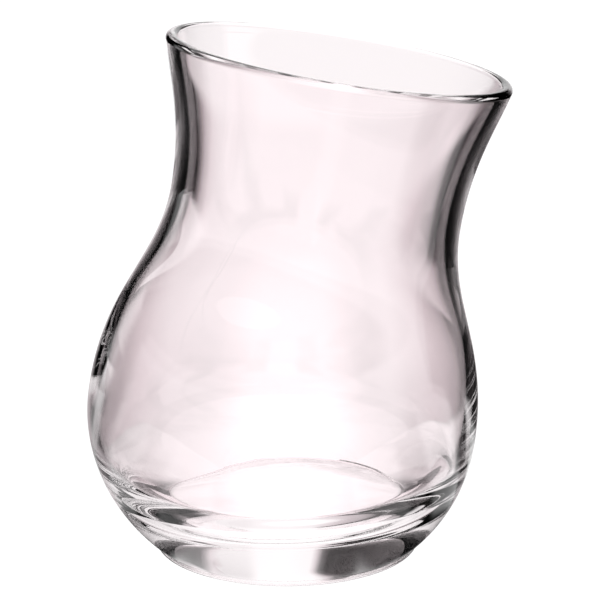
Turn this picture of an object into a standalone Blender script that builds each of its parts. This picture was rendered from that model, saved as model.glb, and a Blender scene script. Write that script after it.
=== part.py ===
"""An empty tea glass with a round belly, a pinched waist and a flared lip.

The whole glass leans to one side and stands on a level foot that is cut slantwise
through its round bottom. The cavity follows the leaning wall, and turns level at
its floor. Units are metres, +Z is up and the origin is the middle of the foot.
"""

import math

import bmesh
import bpy
from mathutils import Matrix, Vector

# The lean, and the axis that the outside is turned on
LEAN = math.radians(9.0)
AXIS_FOOT_X = -0.0043
AXIS_LENGTH = 0.0826

# Radii of the outside and their heights along the axis, from the table
BELLY_RADIUS = 0.0323
BELLY_HEIGHT = 0.0221
BOTTOM_DEPTH = 0.0289
WAIST_RADIUS = 0.0237
WAIST_HEIGHT = 0.0586
LIP_RADIUS = 0.0280

# How far the curve keeps its direction at the belly, the waist and the lip
BELLY_PULL = 0.0175
WAIST_PULL_DOWN = 0.0135
WAIST_PULL_UP = 0.0100
LIP_PULL = 0.0066
LIP_FLARE = math.radians(14.4)

# The wall: a round lip, the waist, the belly and the thick bottom
LIP_ROUNDING = 0.00095
WAIST_WALL = 0.0022
BELLY_WALL = 0.0021
CAVITY_BELLY_HEIGHT = 0.0240
CAVITY_FLOOR = 0.0080
CAVITY_SQUARENESS = 3.2
CAVITY_FLOOR_DISC = 0.0085
CAVITY_LEANS_FULLY_AT = 0.0260

# Where the lip's rounding stops, so that its crest is a narrow land
LAND_ANGLE = math.radians(84.0)
CUT_BEYOND = 0.0030
FOOT_CUTTER = (0.100, 0.100, 0.020)

SIDES = 64
LIP_STEPS = 5
FLARE_STEPS = 6
SHOULDER_STEPS = 9
BOTTOM_STEPS = 9
CORNER_STEPS = 8
LEAN_STEPS = 40
MERGE_DISTANCE = 0.00001

GLASS_COLOUR = (0.93, 0.90, 0.91, 1.0)
GLASS_ROUGHNESS = 0.02
GLASS_IOR = 1.5


def clear_scene():
    for obj in list(bpy.data.objects):
        bpy.data.objects.remove(obj, do_unlink=True)


def new_collection(name):
    collection = bpy.data.collections.new(name)
    bpy.context.scene.collection.children.link(collection)
    return collection


def glass_material():
    material = bpy.data.materials.new("glass")
    material.use_nodes = True
    shader = material.node_tree.nodes["Principled BSDF"]
    shader.inputs["Base Color"].default_value = GLASS_COLOUR
    shader.inputs["Roughness"].default_value = GLASS_ROUGHNESS
    shader.inputs["IOR"].default_value = GLASS_IOR
    shader.inputs["Transmission Weight"].default_value = 1.0
    return material


def arc(centre, radius, start, end, steps):
    """Points (radius, height) on a round, with both ends."""
    points = []
    for step in range(steps + 1):
        angle = start + (end - start) * step / steps
        points.append(centre + radius * Vector((math.cos(angle), math.sin(angle))))
    return points


def bezier(start, pull_start, pull_end, end, steps):
    """Points on a cubic curve after its start."""
    points = []
    for step in range(1, steps + 1):
        t = step / steps
        u = 1 - t
        points.append(
            u**3 * start + 3 * u * u * t * pull_start + 3 * u * t * t * pull_end + t**3 * end
        )
    return points


def side(lip_end, waist_radius, belly_radius, belly_height):
    """Points down one side of the wall, from the end of the lip's round to the belly."""
    along_lip = LIP_PULL * Vector((math.sin(LIP_FLARE), math.cos(LIP_FLARE)))
    waist = Vector((waist_radius, WAIST_HEIGHT))
    belly = Vector((belly_radius, belly_height))
    flare = bezier(
        lip_end,
        lip_end - along_lip,
        waist + Vector((0, WAIST_PULL_UP)),
        waist,
        FLARE_STEPS,
    )
    shoulder = bezier(
        waist,
        waist - Vector((0, WAIST_PULL_DOWN)),
        belly + Vector((0, BELLY_PULL)),
        belly,
        SHOULDER_STEPS,
    )
    return flare + shoulder


def lip_centre():
    return Vector((LIP_RADIUS - LIP_ROUNDING, AXIS_LENGTH - LIP_ROUNDING))


def outer_profile():
    """The outside from the middle of the top, over the lip and down to the lowest point."""
    lip = arc(lip_centre(), LIP_ROUNDING, LAND_ANGLE, -LIP_FLARE, LIP_STEPS)
    wall = side(lip[-1], WAIST_RADIUS, BELLY_RADIUS, BELLY_HEIGHT)
    bottom = []
    for step in range(1, BOTTOM_STEPS):
        angle = math.pi / 2 * step / BOTTOM_STEPS
        radius = BELLY_RADIUS * math.cos(angle)
        bottom.append(Vector((radius, BELLY_HEIGHT - BOTTOM_DEPTH * math.sin(angle))))
    crown = Vector((0, lip[0].y))
    pole = Vector((0, BELLY_HEIGHT - BOTTOM_DEPTH))
    return [crown] + lip + wall + bottom + [pole]


def cavity_profile():
    """The inside from the lip down to the rim of the floor's flat middle."""
    inner_start = math.pi - LAND_ANGLE
    lip = arc(lip_centre(), LIP_ROUNDING, inner_start, math.pi - LIP_FLARE, LIP_STEPS)
    belly_radius = BELLY_RADIUS - BELLY_WALL
    wall = side(lip[-1], WAIST_RADIUS - WAIST_WALL, belly_radius, CAVITY_BELLY_HEIGHT)
    depth = CAVITY_BELLY_HEIGHT - CAVITY_FLOOR
    power = 2 / CAVITY_SQUARENESS
    last_angle = math.acos((CAVITY_FLOOR_DISC / belly_radius) ** (1 / power))
    corner = []
    for step in range(1, CORNER_STEPS + 1):
        angle = last_angle * step / CORNER_STEPS
        radius = belly_radius * math.cos(angle) ** power
        corner.append(Vector((radius, CAVITY_BELLY_HEIGHT - depth * math.sin(angle) ** power)))
    above = Vector((lip[0].x, AXIS_LENGTH + CUT_BEYOND))
    return [above] + lip + wall + corner


def cavity_lean(height):
    """The cavity's lean at a height: none at the floor, all of it from part way up."""
    t = (height - CAVITY_FLOOR) / (CAVITY_LEANS_FULLY_AT - CAVITY_FLOOR)
    t = min(1.0, max(0.0, t))
    return LEAN * t * t * (3 - 2 * t)


def along(angle):
    return Vector((math.sin(angle), 0, math.cos(angle)))


def cavity_centre(height):
    """The middle of the cavity at a height, on an axis that bends upright at the floor."""
    start = max(height, CAVITY_LEANS_FULLY_AT)
    centre = Vector((AXIS_FOOT_X, 0, 0)) + start * along(LEAN)
    if height >= start:
        return centre
    step = (start - height) / LEAN_STEPS
    for index in range(LEAN_STEPS):
        centre -= step * along(cavity_lean(start - (index + 0.5) * step))
    return centre


def add_mesh(name, mesh, collection):
    obj = bpy.data.objects.new(name, mesh)
    collection.objects.link(obj)
    return obj


def turned_body(name, collection, material):
    """The solid glass before it is hollowed, turned on the leaning axis."""
    profile = outer_profile()
    mesh = bpy.data.meshes.new(name)
    edges = [(index, index + 1) for index in range(len(profile) - 1)]
    mesh.from_pydata([(point.x, 0, point.y) for point in profile], edges, [])
    mesh.materials.append(material)
    obj = add_mesh(name, mesh, collection)
    obj.location = (AXIS_FOOT_X, 0, 0)
    obj.rotation_euler = (0, LEAN, 0)
    screw = obj.modifiers.new("turn", "SCREW")
    screw.axis = "Z"
    screw.angle = 2 * math.pi
    screw.steps = SIDES
    screw.render_steps = SIDES
    screw.use_merge_vertices = True
    screw.merge_threshold = MERGE_DISTANCE
    screw.use_smooth_shade = True
    return obj


def cavity_cutter(collection):
    """The hollow, lofted through rings that lean less and less towards the floor."""
    bm = bmesh.new()
    rings = []
    profile = cavity_profile()
    for index, point in enumerate(profile):
        lean = Matrix.Rotation(cavity_lean(point.y), 4, "Y")
        place = Matrix.Translation(cavity_centre(point.y)) @ lean
        is_end = index in (0, len(profile) - 1)
        ring = bmesh.ops.create_circle(
            bm, segments=SIDES, radius=point.x, matrix=place, cap_ends=is_end
        )
        rings.append({edge for vert in ring["verts"] for edge in vert.link_edges})
    for upper, lower in zip(rings, rings[1:]):
        bmesh.ops.bridge_loops(bm, edges=list(upper | lower))
    bmesh.ops.recalc_face_normals(bm, faces=bm.faces)
    mesh = bpy.data.meshes.new("cavity")
    bm.to_mesh(mesh)
    bm.free()
    mesh.shade_smooth()
    return add_mesh("cavity", mesh, collection)


def foot_cutter(collection):
    """A block below the table, which leaves the foot level."""
    bm = bmesh.new()
    bmesh.ops.create_cube(bm, size=1.0, matrix=Matrix.Diagonal((*FOOT_CUTTER, 1)))
    bmesh.ops.translate(bm, verts=bm.verts, vec=(0, 0, -FOOT_CUTTER[2] / 2))
    mesh = bpy.data.meshes.new("below_foot")
    bm.to_mesh(mesh)
    bm.free()
    return add_mesh("below_foot", mesh, collection)


def cut(obj, cutter):
    cutter.hide_render = True
    cutter.display_type = "WIRE"
    boolean = obj.modifiers.new("cut_" + cutter.name, "BOOLEAN")
    boolean.operation = "DIFFERENCE"
    boolean.solver = "EXACT"
    boolean.object = cutter


def main():
    clear_scene()
    parts = new_collection("leaning_tea_glass")
    cutters = new_collection("cutters")
    glass = turned_body("glass", parts, glass_material())
    cut(glass, cavity_cutter(cutters))
    cut(glass, foot_cutter(cutters))


main()
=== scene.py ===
# %% [markdown]
# # A leaning tea glass
# The object is one piece of clear glass: a round belly, a pinched waist and a flared
# lip, leaning nine degrees on a level foot. Clear glass shows no surface of its own.
# What we see are the places around it that its walls bend into view, so this lesson
# spends as much care on the wall's thickness and on the lit room as on the outline.

# %% Load the measured part
import math

import bmesh
import bpy
from mathutils import Matrix, Vector


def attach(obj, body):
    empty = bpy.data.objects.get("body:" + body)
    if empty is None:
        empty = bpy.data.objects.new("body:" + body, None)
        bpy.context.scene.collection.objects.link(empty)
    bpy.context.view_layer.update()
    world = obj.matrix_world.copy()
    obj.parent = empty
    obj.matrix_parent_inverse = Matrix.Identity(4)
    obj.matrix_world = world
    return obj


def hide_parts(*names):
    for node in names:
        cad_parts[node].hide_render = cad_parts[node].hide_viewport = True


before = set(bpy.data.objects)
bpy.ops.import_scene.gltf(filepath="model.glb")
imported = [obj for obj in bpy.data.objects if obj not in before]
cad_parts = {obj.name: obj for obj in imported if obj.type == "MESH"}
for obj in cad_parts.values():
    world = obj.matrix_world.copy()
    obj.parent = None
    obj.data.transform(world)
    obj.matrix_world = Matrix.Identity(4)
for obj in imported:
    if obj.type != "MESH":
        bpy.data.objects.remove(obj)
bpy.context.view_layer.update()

# %% [markdown]
# ## The sizes that drive the shape
# A glass like this is blown into a leaning mould, so nearly all of it is a turned
# shape. A few radii, and their heights along the leaning axis, give the whole outside.
# They are the same sizes as in the solid part, so the fine surface lies where it does.

# %% Driving sizes, in metres
LEAN = math.radians(9.0)
AXIS_FOOT = Vector((-0.0043, 0, 0))
AXIS_LENGTH = 0.0826
BELLY_RADIUS, BELLY_HEIGHT = 0.0323, 0.0221
WAIST_RADIUS, WAIST_HEIGHT = 0.0237, 0.0586
LIP_RADIUS = 0.0280
BOTTOM_DEPTH = 0.0289

BELLY_PULL, LIP_PULL = 0.0175, 0.0066
WAIST_PULL_DOWN, WAIST_PULL_UP = 0.0135, 0.0100
LIP_FLARE = math.radians(14.4)

LIP_ROUNDING = 0.00095
WAIST_WALL, BELLY_WALL = 0.0022, 0.0021
CAVITY_BELLY_HEIGHT, CAVITY_FLOOR = 0.0240, 0.0080
CAVITY_SQUARENESS = 3.2
CAVITY_LEANS_FULLY_AT = 0.0260

SIDES = 192
LIP_STEPS, FLARE_STEPS, SHOULDER_STEPS = 22, 24, 36
FOOT_ROUNDING, FOOT_ROUNDING_STEPS = 0.0007, 6
MERGE_DISTANCE = 0.000002

# %% [markdown]
# ## Drawing one side of the wall
# We draw the wall in two dimensions, as radius and height. A round gives the lip, and
# cubic curves give the long sweeps, because a cubic curve leaves each end in the
# direction that we choose: upright at the waist and the belly, flared at the lip.

# %% Rounds and sweeps
def arc(centre, radius, start, end, steps):
    angles = [start + (end - start) * step / steps for step in range(steps + 1)]
    return [centre + radius * Vector((math.cos(a), math.sin(a))) for a in angles]


def sweep(start, pull_start, pull_end, end, steps):
    points = []
    for step in range(1, steps + 1):
        t = step / steps
        u = 1 - t
        points.append(u**3 * start + 3 * u * u * t * pull_start
                      + 3 * u * t * t * pull_end + t**3 * end)
    return points


def flare(lip_end, waist_radius):
    along_lip = LIP_PULL * Vector((math.sin(LIP_FLARE), math.cos(LIP_FLARE)))
    waist = Vector((waist_radius, WAIST_HEIGHT))
    return sweep(lip_end, lip_end - along_lip, waist + Vector((0, WAIST_PULL_UP)), waist,
                 FLARE_STEPS)


def shoulder(waist_radius, belly_radius, belly_height):
    waist = Vector((waist_radius, WAIST_HEIGHT))
    belly = Vector((belly_radius, belly_height))
    return sweep(waist, waist - Vector((0, WAIST_PULL_DOWN)),
                 belly + Vector((0, BELLY_PULL)), belly, SHOULDER_STEPS)


# %% The turned profile
lip_centre = Vector((LIP_RADIUS - LIP_ROUNDING, AXIS_LENGTH - LIP_ROUNDING))
lip = arc(lip_centre, LIP_ROUNDING, math.pi - LIP_FLARE, -LIP_FLARE, LIP_STEPS)
inner_flare = flare(lip[0], WAIST_RADIUS - WAIST_WALL)
outer_flare = flare(lip[-1], WAIST_RADIUS)
outer_shoulder = shoulder(WAIST_RADIUS, BELLY_RADIUS, BELLY_HEIGHT)
profile = inner_flare[::-1] + lip + outer_flare + outer_shoulder
print("points in the turned profile:", len(profile))

# %% [markdown]
# ## Turning the wall
# The profile starts at the inside of the waist, climbs to the lip, goes over its
# round edge and runs down the outside to the belly. A spin turns it once round.
# The result is an open sleeve, which we then lean over.

# %% Spin and lean
leaning = Matrix.Translation(AXIS_FOOT) @ Matrix.Rotation(LEAN, 4, "Y")


def turned_wall(bm):
    verts = [bm.verts.new((point.x, 0, point.y)) for point in profile]
    edges = [bm.edges.new(pair) for pair in zip(verts, verts[1:])]
    bmesh.ops.spin(bm, geom=verts + edges, cent=(0, 0, 0), axis=(0, 0, 1),
                   angle=2 * math.pi, steps=SIDES, use_merge=True)
    bmesh.ops.transform(bm, matrix=leaning, verts=bm.verts)


# %% [markdown]
# ## Levelling the bottom
# Below the belly the outside is half of an egg shape, and the foot is a level cut
# through it. Cutting rings that lean would leave slivers along the cut. Every plane
# cuts an egg in an ellipse, though, so we draw circles on a unit ball, turn them step
# by step towards the level, and let one matrix stretch the ball into the egg.

# %% Rings on the egg
egg = leaning @ Matrix.Translation((0, 0, BELLY_HEIGHT)) @ Matrix.Diagonal(
    (BELLY_RADIUS, BELLY_RADIUS, BOTTOM_DEPTH, 1))
level = Vector((-BELLY_RADIUS * math.sin(LEAN), 0, BOTTOM_DEPTH * math.cos(LEAN)))
foot_turn = math.atan2(level.x, level.z)
foot_latitude = math.asin(BELLY_HEIGHT * math.cos(LEAN) / level.length)


def egg_rings(bm, steps=34):
    rings = []
    for step in range(steps + 1):
        t = step / steps
        latitude = foot_latitude * t
        place = egg @ Matrix.Rotation(foot_turn * t, 4, "Y")
        place = place @ Matrix.Translation((0, 0, -math.sin(latitude)))
        rings.append(bmesh.ops.create_circle(bm, segments=SIDES, radius=math.cos(latitude),
                                             matrix=place, cap_ends=step == steps))
    return rings


print("foot across, in mm:", round(2000 * BELLY_RADIUS * math.cos(foot_latitude), 1))

# %% [markdown]
# ## The cavity
# The inside follows the leaning wall at the neck. Near the floor it turns level, as
# the level bright ellipse in the bottom of the glass tells. So its rings are placed on
# an axis that bends upright on the way down. A squared-off ellipse gives the corner
# between the wall and the broad floor.

# %% Rings of the cavity
def cavity_lean(height):
    t = (height - CAVITY_FLOOR) / (CAVITY_LEANS_FULLY_AT - CAVITY_FLOOR)
    t = min(1.0, max(0.0, t))
    return LEAN * t * t * (3 - 2 * t)


def cavity_centre(height, steps=40):
    start = max(height, CAVITY_LEANS_FULLY_AT)
    centre = AXIS_FOOT + start * Vector((math.sin(LEAN), 0, math.cos(LEAN)))
    for index in range(steps if height < start else 0):
        lean = cavity_lean(start - (index + 0.5) * (start - height) / steps)
        centre -= (start - height) / steps * Vector((math.sin(lean), 0, math.cos(lean)))
    return centre


def cavity_profile(steps=34, smallest=0.0006):
    belly = BELLY_RADIUS - BELLY_WALL
    power = 2 / CAVITY_SQUARENESS
    last = math.acos((smallest / belly) ** (1 / power))
    points = [Vector((WAIST_RADIUS - WAIST_WALL, WAIST_HEIGHT))]
    points += shoulder(WAIST_RADIUS - WAIST_WALL, belly, CAVITY_BELLY_HEIGHT)
    for step in range(1, steps + 1):
        angle = last * step / steps
        drop = (CAVITY_BELLY_HEIGHT - CAVITY_FLOOR) * math.sin(angle) ** power
        points.append(Vector((belly * math.cos(angle) ** power, CAVITY_BELLY_HEIGHT - drop)))
    return points


def cavity_rings(bm):
    rings = []
    points = cavity_profile()
    for point in points:
        place = Matrix.Translation(cavity_centre(point.y))
        place = place @ Matrix.Rotation(cavity_lean(point.y), 4, "Y")
        rings.append(bmesh.ops.create_circle(bm, segments=SIDES, radius=point.x, matrix=place,
                                             cap_ends=point is points[-1]))
    return rings


# %% [markdown]
# ## One closed glass
# The sleeve shares a circle with the egg at the belly, and one with the cavity at the
# inside of the waist, so bridging the rings and merging doubles close the surface. The
# foot's edge gets a small rounding. Normals weighted by face area keep the foot flat,
# because soft shading across that edge would bend the light that enters there.

# %% Join everything
def ring_edges(ring):
    """Each edge of a ring once, always in the same order."""
    return list(dict.fromkeys(edge for vert in ring["verts"] for edge in vert.link_edges))


def bridge(bm, rings):
    loops = [ring_edges(ring) for ring in rings]
    for upper, lower in zip(loops, loops[1:]):
        bmesh.ops.bridge_loops(bm, edges=upper + lower)


def glass_mesh():
    bm = bmesh.new()
    turned_wall(bm)
    bottom = egg_rings(bm)
    foot_edges = ring_edges(bottom[-1])
    bridge(bm, bottom)
    bridge(bm, cavity_rings(bm))
    bmesh.ops.remove_doubles(bm, verts=bm.verts, dist=MERGE_DISTANCE)
    foot_edges = [edge for edge in foot_edges if edge.is_valid]
    bmesh.ops.bevel(bm, geom=foot_edges, offset=FOOT_ROUNDING, segments=FOOT_ROUNDING_STEPS,
                    affect="EDGES", profile=0.5, material=-1)
    bmesh.ops.recalc_face_normals(bm, faces=bm.faces)
    open_edges = [edge for edge in bm.edges if not edge.is_manifold]
    print("faces:", len(bm.faces), "open edges:", len(open_edges),
          "glass, in cubic cm:", round(bm.calc_volume() * 1e6, 2))
    mesh = bpy.data.meshes.new("clear_glass")
    bm.to_mesh(mesh)
    bm.free()
    mesh.shade_smooth()
    return mesh


glass = bpy.data.objects.new("clear_glass", glass_mesh())
bpy.context.scene.collection.objects.link(glass)
flat_foot = glass.modifiers.new("flat_foot", "WEIGHTED_NORMAL")
flat_foot.mode = "FACE_AREA"
flat_foot.weight = 100
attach(glass, "root")
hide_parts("glass")

# %% [markdown]
# ## The glass itself
# Clear glass is full transmission with an index of refraction of 1.5. Blown glass is
# never optically flat, so two faint noises stand for what a good one shows: long
# waves from the mould, as a very shallow bump, and a trace of haze from washing. The
# level foot rubs on tables, so it is a little rougher. The cast is a pale lilac.

# %% Nodes that several materials need
def noise(tree, place, scale, detail):
    node = tree.nodes.new("ShaderNodeTexNoise")
    node.inputs["Scale"].default_value = scale
    node.inputs["Detail"].default_value = detail
    tree.links.new(place, node.inputs["Vector"])
    return node.outputs["Fac"]


def math_node(tree, operation, *values):
    node = tree.nodes.new("ShaderNodeMath")
    node.operation = operation
    for socket, value in zip(node.inputs, values):
        if isinstance(value, (int, float)):
            socket.default_value = value
        else:
            tree.links.new(value, socket)
    return node.outputs[0]


def product(tree, first, *others):
    for other in others:
        first = math_node(tree, "MULTIPLY", first, other)
    return first


def between(tree, value, low, high):
    """0 at low, 1 at high, and a soft step between them."""
    node = tree.nodes.new("ShaderNodeMapRange")
    node.interpolation_type = "SMOOTHSTEP"
    node.inputs["From Min"].default_value = low
    node.inputs["From Max"].default_value = high
    tree.links.new(value, node.inputs["Value"])
    return node.outputs["Result"]


def coordinates(tree):
    """The piece's own place, and its x, y and z, in metres."""
    place = tree.nodes.new("ShaderNodeTexCoord").outputs["Object"]
    split = tree.nodes.new("ShaderNodeSeparateXYZ")
    tree.links.new(place, split.inputs[0])
    return place, [split.outputs[axis] for axis in "XYZ"]


# %% Glass material
GLASS_CAST = (1.0, 0.945, 0.958, 1)
GLASS_IOR = 1.5
WAVE_SCALE, WAVE_DETAIL, WAVE_HEIGHT = 48.0, 1.0, 0.00002
HAZE_SCALE, HAZE_DETAIL, HAZE = 130.0, 3.0, 0.010
HAZE_STARTS, HAZE_FULL = 0.5, 0.8
SCUFF = 0.05
SCUFF_STARTS_Z, SCUFF_FULL_Z = 0.0006, 0.0001


def glass_material():
    material = bpy.data.materials.new("clear_glass")
    material.use_nodes = True
    tree = material.node_tree
    shader = tree.nodes["Principled BSDF"]
    shader.inputs["Base Color"].default_value = GLASS_CAST
    shader.inputs["IOR"].default_value = GLASS_IOR
    shader.inputs["Transmission Weight"].default_value = 1.0
    place, (_, _, z) = coordinates(tree)
    bump = tree.nodes.new("ShaderNodeBump")
    bump.inputs["Strength"].default_value = 1.0
    bump.inputs["Distance"].default_value = WAVE_HEIGHT
    tree.links.new(noise(tree, place, WAVE_SCALE, WAVE_DETAIL), bump.inputs["Height"])
    tree.links.new(bump.outputs["Normal"], shader.inputs["Normal"])
    specks = between(tree, noise(tree, place, HAZE_SCALE, HAZE_DETAIL), HAZE_STARTS, HAZE_FULL)
    scuffs = between(tree, z, SCUFF_STARTS_Z, SCUFF_FULL_Z)
    roughness = math_node(tree, "ADD", product(tree, specks, HAZE), product(tree, scuffs, SCUFF))
    tree.links.new(roughness, shader.inputs["Roughness"])
    return material


glass.data.materials.append(glass_material())
print("glass material nodes:", len(glass.data.materials[0].node_tree.nodes))

# %% [markdown]
# ## A studio for clear glass
# A white sweep alone would leave the glass nearly invisible. The photographer's way is
# bright-field light: a lit table behind the glass, and black cards at both sides of
# it. The walls bend the cards into view, which draws the dark outlines. Here the table
# and the tent round it only glow, so the light is even and the picture stays clean.

# %% Helpers for glowing pieces
ROUND_STEPS = 96
FLOOR_GAP = 0.00012


def glowing(name):
    """A material that only glows, with its colour still to be linked."""
    material = bpy.data.materials.new(name)
    material.use_nodes = True
    tree = material.node_tree
    tree.nodes.clear()
    glow = tree.nodes.new("ShaderNodeEmission")
    out = tree.nodes.new("ShaderNodeOutputMaterial")
    tree.links.new(glow.outputs[0], out.inputs["Surface"])
    return material, tree, glow


def disc(radius):
    """A level disc just below the foot."""
    bm = bmesh.new()
    bmesh.ops.create_circle(bm, segments=ROUND_STEPS, radius=radius, cap_ends=True,
                            matrix=Matrix.Translation((0, 0, -FLOOR_GAP)))
    return bm


def stage_piece(name, bm, material):
    mesh = bpy.data.meshes.new(name)
    bm.to_mesh(mesh)
    bm.free()
    obj = bpy.data.objects.new(name, mesh)
    bpy.context.scene.collection.objects.link(obj)
    mesh.materials.append(material)
    obj.visible_diffuse = False
    obj.visible_shadow = False
    return obj


# %% [markdown]
# ## The floor in the picture
# The camera sees a plain pale floor with no horizon and no shadow, as the photograph
# has it. The glass doesn't see this floor: through its walls it sees the light table.

# %% The pale floor
FLOOR_RADIUS = 4.0
FLOOR_LIGHT = 1.08
floor_material, tree, glow = glowing("pale_floor")
glow.inputs["Strength"].default_value = FLOOR_LIGHT
floor = stage_piece("pale_floor", disc(FLOOR_RADIUS), floor_material)
floor.visible_glossy = False
floor.visible_transmission = False
print("floor light:", FLOOR_LIGHT)

# %% [markdown]
# ## Patterns of light from a place
# Each card and window is drawn in the glow of the table by arithmetic on the place
# of the point. The window behind the glass is a fan, so we need the angle off a heading.
# The fan's dim light is a little rosy, as the greys of the glass in the photograph are.

# %% Fans and blends
EYE_BEHIND = 0.25
WIDEST_ANGLE = 30
ROSY_BELOW_WHITE = 0.25
LESS_GREEN, LESS_BLUE = 0.075, 0.05


def fan_angle(tree, x, y):
    """Degrees to the right of +Y, for an eye in front of the glass."""
    ahead = math_node(tree, "ADD", y, EYE_BEHIND)
    return product(tree, math_node(tree, "ARCTAN2", x, ahead), 180 / math.pi)


def tint(level):
    rosy = min(1.0, max(0.0, (1.0 - level) / ROSY_BELOW_WHITE))
    return (1.0, 1.0 - LESS_GREEN * rosy, 1.0 - LESS_BLUE * rosy)


def graded(tree, angle, stops):
    """A colour ramp over the angles from the widest at the left to the widest at the right."""
    ramp = tree.nodes.new("ShaderNodeValToRGB")
    elements = ramp.color_ramp.elements
    elements.remove(elements[-1])
    for degrees, level in stops:
        element = elements.new((degrees + WIDEST_ANGLE) / (2 * WIDEST_ANGLE))
        element.color = (*[level * part for part in tint(level)], 1)
    elements.remove(elements[0])
    shifted = math_node(tree, "ADD", angle, WIDEST_ANGLE)
    tree.links.new(math_node(tree, "DIVIDE", shifted, 2 * WIDEST_ANGLE), ramp.inputs[0])
    return ramp.outputs[0]


def mix(tree, blend, factor, first, second):
    node = tree.nodes.new("ShaderNodeMix")
    node.data_type = "RGBA"
    node.blend_type = blend
    node.clamp_factor = True
    for index, value in ((0, factor), (6, first), (7, second)):
        socket = node.inputs[index]
        if isinstance(value, (int, float)):
            socket.default_value = value if index == 0 else (value, value, value, 1)
        else:
            tree.links.new(value, socket)
    return node.outputs[2]


# %% [markdown]
# ## The windows of the wheel
# A visitor walks round the glass, so each side needs a bright window behind it too.
# The windows stand round it like the gaps of a wheel, 45 degrees apart, with a dark
# post between each two. In front the wheel is open, because a post there would be
# mirrored as a streak on the neck. Behind the glass the fan takes the windows' place.

# %% The wheel of windows
DARK = 0.004
WINDOWS = 8
POST_WAVE, WINDOW_WAVE = -0.8, 0.1
OPEN_STARTS_Y, OPEN_FULL_Y = -0.03, -0.10


def wheel(tree, x, y):
    """1 in the windows and 0 on the posts."""
    heading = math_node(tree, "ARCTAN2", y, x)
    wave = math_node(tree, "COSINE", product(tree, heading, WINDOWS))
    open_front = between(tree, y, OPEN_STARTS_Y, OPEN_FULL_Y)
    return math_node(tree, "MAXIMUM", between(tree, wave, POST_WAVE, WINDOW_WAVE), open_front)


# %% [markdown]
# ## The fan on the table
# Nearly all that the camera sees through the walls is this fan. It is white in the
# middle and fades to grey at its sides, where the edges of the glass look. The low
# belly sees the near part of the table and the neck the far part, so the fade is set
# three times, for a near, a middle and a back stretch, and tuned by comparing renders.

# %% Fades of the fan, as degrees and brightness
NEAR_FAN = [(-14.5, DARK), (-13.4, 0.10), (-12.3, 0.30), (-11.0, 0.45), (-9.0, 0.50), (-8.0, 0.60),
            (-7.0, 0.74), (-6.0, 0.86), (-5.0, 0.96), (-3.5, 1.02), (0.0, 1.04), (4.0, 1.01),
            (5.0, 0.92), (6.0, 0.80), (7.0, 0.66), (7.8, 0.52), (8.6, 0.38), (9.4, 0.12),
            (11.0, 0.05), (13.5, 0.04), (14.5, DARK)]
MIDDLE_FAN = [(-10.8, DARK), (-10.0, 0.14), (-9.2, 0.34), (-8.2, 0.62), (-7.0, 0.82), (-5.5, 0.95),
              (-3.0, 1.0), (3.0, 1.0), (6.0, 0.93), (8.0, 0.84), (10.0, 0.66), (11.0, 0.46),
              (12.0, 0.26), (13.0, 0.07), (14.0, DARK)]
BACK_FAN = [(-13.2, DARK), (-12.5, 0.35), (-11.6, 0.80), (-10.0, 1.02), (-5.0, 1.06), (8.0, 1.06),
            (11.0, 0.98), (12.4, 0.60), (13.5, DARK)]
FAN_STARTS_Y, FAN_FULL_Y = 0.0, 0.012
MIDDLE_STARTS_Y, MIDDLE_FULL_Y = 0.225, 0.260
BACK_STARTS_Y, BACK_FULL_Y = 0.340, 0.385


def table_fan(tree, x, y):
    angle = fan_angle(tree, x, y)
    near, middle, back = [graded(tree, angle, stops) for stops in (NEAR_FAN, MIDDLE_FAN, BACK_FAN)]
    fan = mix(tree, "MIX", between(tree, y, MIDDLE_STARTS_Y, MIDDLE_FULL_Y), near, middle)
    fan = mix(tree, "MIX", between(tree, y, BACK_STARTS_Y, BACK_FULL_Y), fan, back)
    return mix(tree, "MIX", between(tree, y, FAN_STARTS_Y, FAN_FULL_Y), DARK, fan)


print("stops in the table's fans:", len(NEAR_FAN) + len(MIDDLE_FAN) + len(BACK_FAN))

# %% [markdown]
# ## The cards at the sides
# A black card at each side ends the windows of the wheel. The right one starts 50 mm
# behind the middle of the foot. The left one starts further back, behind a slanting
# line, because the dark that the left wall bends into view lies further back. Close to
# the glass at the left, the windows are dimmed by half for the grey along that outline.

# %% The sides of the table
SIDE_LIGHT = 1.08
RIGHT_CARD_Y = 0.050
LEFT_CARD_SLOPE = math.tan(math.radians(137.5))
LEFT_CARD_FURTHEST_Y = 0.125
CARD_SOFTNESS = 0.008
LEFT_STARTS_X, LEFT_FULL_X = -0.035, -0.045
DIMMED_REACH = (0.17, 0.11)
DIMMED_X = (-0.02, -0.05)
DIMMED_Y = (-0.05, -0.01)
DIMMED_TO = 0.50


def table_sides(tree, x, y, reach):
    left_card = product(tree, x, LEFT_CARD_SLOPE)
    left_card = math_node(tree, "MINIMUM", left_card, LEFT_CARD_FURTHEST_Y)
    on_left = between(tree, x, LEFT_STARTS_X, LEFT_FULL_X)
    further = math_node(tree, "SUBTRACT", left_card, RIGHT_CARD_Y)
    card = math_node(tree, "MULTIPLY_ADD", further, on_left, RIGHT_CARD_Y)
    before_card = math_node(tree, "SUBTRACT", card, y)
    before_card = between(tree, before_card, -CARD_SOFTNESS, CARD_SOFTNESS)
    lit = product(tree, wheel(tree, x, y), before_card)
    sides = mix(tree, "MIX", lit, DARK, SIDE_LIGHT)
    dimmed = product(tree, between(tree, reach, *DIMMED_REACH), between(tree, x, *DIMMED_X),
                     between(tree, y, *DIMMED_Y))
    return mix(tree, "MULTIPLY", dimmed, sides, DIMMED_TO)


# %% [markdown]
# ## Close to the foot
# The thick base gathers what lies right beside it. A white pool under the foot fills
# the bright ellipse in the bottom. A narrow black ring in front, with a gap in its
# middle, gives the dark patches at both sides of the base. A streak of stronger light
# runs back from the foot, with a little shade beside it, for the shine of the belly.

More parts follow.
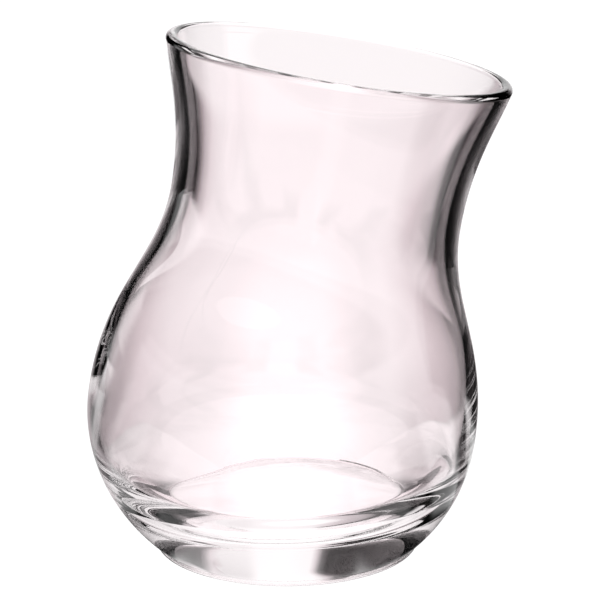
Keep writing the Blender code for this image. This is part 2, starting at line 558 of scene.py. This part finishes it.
# %% Pool, ring and streak
POOL_REACH, POOL_LIGHT = (0.0230, 0.0205), 1.15
RING_REACH, RING_Y = (0.037, 0.031), (0.014, 0.002)
GAP_MIDDLE_X, GAP = -0.003, (0.0145, 0.0185)
STREAK_X, STREAK_Y, STREAK_LIGHT = (0.021, 0.007), (0.30, 0.10), 0.16
SHADE_X, SHADE_Y, SHADE = (0.006, 0.015), (0.12, 0.06), 0.09


def with_pool_and_ring(tree, x, y, reach, light):
    beside_gap = math_node(tree, "ABSOLUTE", math_node(tree, "SUBTRACT", x, GAP_MIDDLE_X))
    ring = product(tree, between(tree, beside_gap, *GAP), between(tree, reach, *RING_REACH),
                   between(tree, y, *RING_Y))
    light = mix(tree, "MIX", ring, light, DARK)
    return mix(tree, "MIX", between(tree, reach, *POOL_REACH), light, POOL_LIGHT)


def streak_strength(tree, x, y):
    off_middle = math_node(tree, "ABSOLUTE", x)
    streak = product(tree, between(tree, off_middle, *STREAK_X), between(tree, y, *STREAK_Y))
    shade = product(tree, between(tree, off_middle, *SHADE_X), between(tree, y, *SHADE_Y))
    strength = math_node(tree, "MULTIPLY_ADD", streak, STREAK_LIGHT, 1.0)
    return math_node(tree, "MULTIPLY_ADD", shade, -SHADE, strength)


# %% The light table that the glass sees
TABLE_RADIUS = 0.60
table_material, tree, glow = glowing("light_table")
_, (x, y, _) = coordinates(tree)
reach = math_node(tree, "SQRT", math_node(tree, "ADD", product(tree, x, x), product(tree, y, y)))
light = mix(tree, "LIGHTEN", 1.0, table_fan(tree, x, y), table_sides(tree, x, y, reach))
light = with_pool_and_ring(tree, x, y, reach, light)
tree.links.new(light, glow.inputs["Color"])
tree.links.new(streak_strength(tree, x, y), glow.inputs["Strength"])
table = stage_piece("light_table", disc(TABLE_RADIUS), table_material)
table.visible_camera = False
print("light table, in mm across:", round(2000 * TABLE_RADIUS))

# %% [markdown]
# ## The tent
# Flat and rising rays miss the table and meet the tent, a turned wall round it. A low
# and a high window carry the fan on upwards, and the high one widens near its top. Low
# panels at the left and in front go on with the windows of the wheel. Above the tent,
# the open sky of the studio takes over.

# %% Windows and panels of the tent
LOW_FAN = [(-15.0, DARK), (-13.5, 0.20), (-11.0, 0.48), (-8.5, 0.66), (-6.5, 0.80), (-4.0, 0.92),
           (0.0, 0.98), (15.0, 0.92), (17.0, 0.74), (19.0, 0.35), (22.0, 0.15), (25.0, DARK)]
HIGH_FAN = [(-7.4, DARK), (-6.2, 0.12), (-5.2, 0.70), (-4.4, 0.98), (0.0, 1.04), (11.0, 0.98),
            (12.6, 0.78), (13.8, 0.36), (15.0, 0.08), (16.5, DARK)]
HIGH_Z = (0.14, 0.17)
WIDER_Z, WIDER_BY = (0.33, 0.42), 0.42
TENT_FAN_Y = (0.0, 0.1)
PANEL_Z, PANEL_LIGHT = (0.20, 0.17), 0.85
PANEL_LEFT_X, PANEL_FRONT_Y = (-0.39, -0.45), (0.06, 0.03)


def tent_fan(tree, x, y, z):
    angle = fan_angle(tree, x, y)
    narrowed = math_node(tree, "MULTIPLY_ADD", between(tree, z, *WIDER_Z), -WIDER_BY, 1.0)
    low = graded(tree, angle, LOW_FAN)
    high = graded(tree, product(tree, angle, narrowed), HIGH_FAN)
    fan = mix(tree, "MIX", between(tree, z, *HIGH_Z), low, high)
    return mix(tree, "MIX", between(tree, y, *TENT_FAN_Y), DARK, fan)


def tent_panels(tree, x, y, z):
    left, front = between(tree, x, *PANEL_LEFT_X), between(tree, y, *PANEL_FRONT_Y)
    panel = product(tree, between(tree, z, *PANEL_Z), wheel(tree, x, y),
                    math_node(tree, "MAXIMUM", left, front))
    return mix(tree, "MIX", panel, DARK, PANEL_LIGHT)


# %% The tent round the table
TENT_RADIUS, TENT_HEIGHT = 0.60, 0.50
tent_material, tree, glow = glowing("light_tent")
_, (x, y, z) = coordinates(tree)
light = mix(tree, "LIGHTEN", 1.0, tent_fan(tree, x, y, z), tent_panels(tree, x, y, z))
tree.links.new(light, glow.inputs["Color"])
bm = bmesh.new()
bottom = bm.verts.new((TENT_RADIUS, 0, 0))
top = bm.verts.new((TENT_RADIUS, 0, TENT_HEIGHT))
bmesh.ops.spin(bm, geom=[bottom, top, bm.edges.new((bottom, top))], cent=(0, 0, 0),
               axis=(0, 0, 1), angle=2 * math.pi, steps=ROUND_STEPS, use_merge=True)
tent = stage_piece("light_tent", bm, tent_material)
tent.visible_camera = False
print("tent height, in mm:", round(TENT_HEIGHT * 1000))

# %% The open sky of the studio
world = bpy.data.worlds.new("studio")
bpy.context.scene.world = world
world.use_nodes = True
world.node_tree.nodes["Background"].inputs["Color"].default_value = (1, 1, 1, 1)
world.node_tree.nodes["Background"].inputs["Strength"].default_value = FLOOR_LIGHT

# %% [markdown]
# ## The camera
# The photograph looks down on the glass by nearly fifteen degrees, from close by: the
# lip's ellipse and the foot's curve agree only with a distance of about 37 cm. Light
# crosses this glass many times before it leaves, so Cycles is allowed long paths.

# %% Camera and light paths
TARGET = Vector((0.00217, 0, 0.0414))
CAMERA_ELEVATION = math.radians(14.74)
CAMERA_DISTANCE = 0.370
PIXELS_PER_RADIAN = 2254.4
IMAGE_WIDTH = 600
SENSOR_WIDTH = 36
PATH_LENGTH = 32
camera = bpy.data.objects.new("camera", bpy.data.cameras.new("camera"))
bpy.context.scene.collection.objects.link(camera)
back = Vector((0, -math.cos(CAMERA_ELEVATION), math.sin(CAMERA_ELEVATION)))
camera.location = TARGET + CAMERA_DISTANCE * back
camera.rotation_euler = (-back).to_track_quat("-Z", "Y").to_euler()
camera.data.sensor_width = SENSOR_WIDTH
camera.data.lens = PIXELS_PER_RADIAN * SENSOR_WIDTH / IMAGE_WIDTH
camera.data.clip_start = 0.01
bpy.context.scene.camera = camera
bpy.context.scene.view_settings.view_transform = "Standard"
light_paths = bpy.context.scene.cycles
light_paths.max_bounces = PATH_LENGTH
light_paths.glossy_bounces = PATH_LENGTH
light_paths.transmission_bounces = PATH_LENGTH
print("camera at, in mm:", [round(v * 1000) for v in camera.location])
